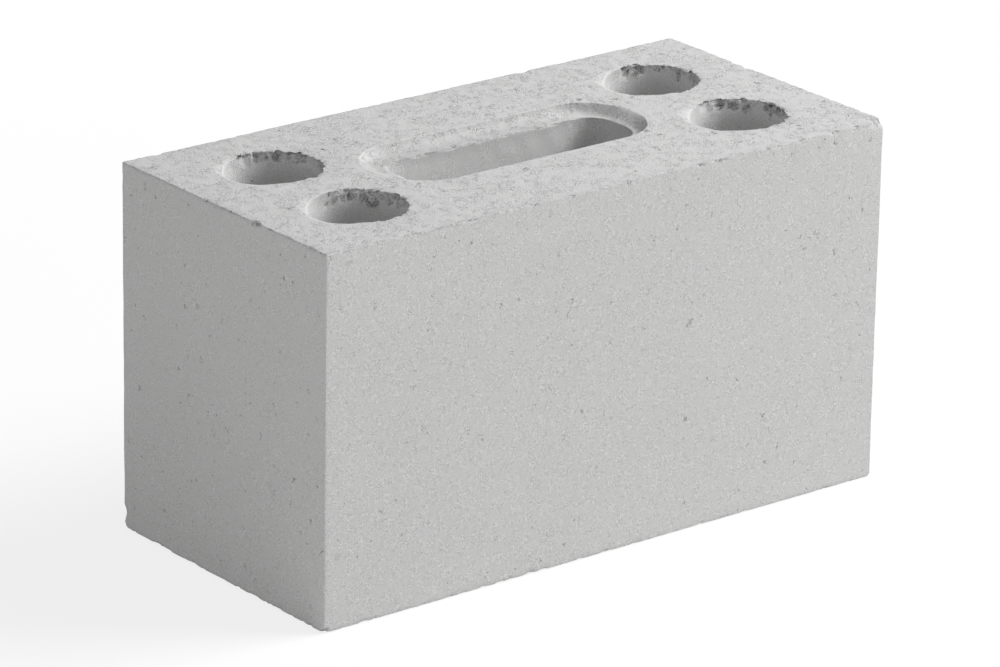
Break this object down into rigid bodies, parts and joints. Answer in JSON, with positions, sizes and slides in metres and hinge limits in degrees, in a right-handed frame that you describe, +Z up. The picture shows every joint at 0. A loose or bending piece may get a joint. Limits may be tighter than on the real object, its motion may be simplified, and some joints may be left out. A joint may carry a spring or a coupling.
{
  "type": "calcium silicate brick",
  "caption": "Pressed sand-lime building brick with a sunk central grip slot and a round core near each corner, all running through its height.",
  "frame": {"origin": "centre of the bottom bed face", "axes": "+X along the length, +Y across the width, +Z up, with the sunk mouth of the grip slot on top"},
  "size_m": [0.25, 0.12, 0.138],
  "materials": {
    "sand_lime": "matt, fine sandy grain"
  },
  "bodies": {
    "root": {"brick": "sand_lime"}
  },
  "joints": []
}
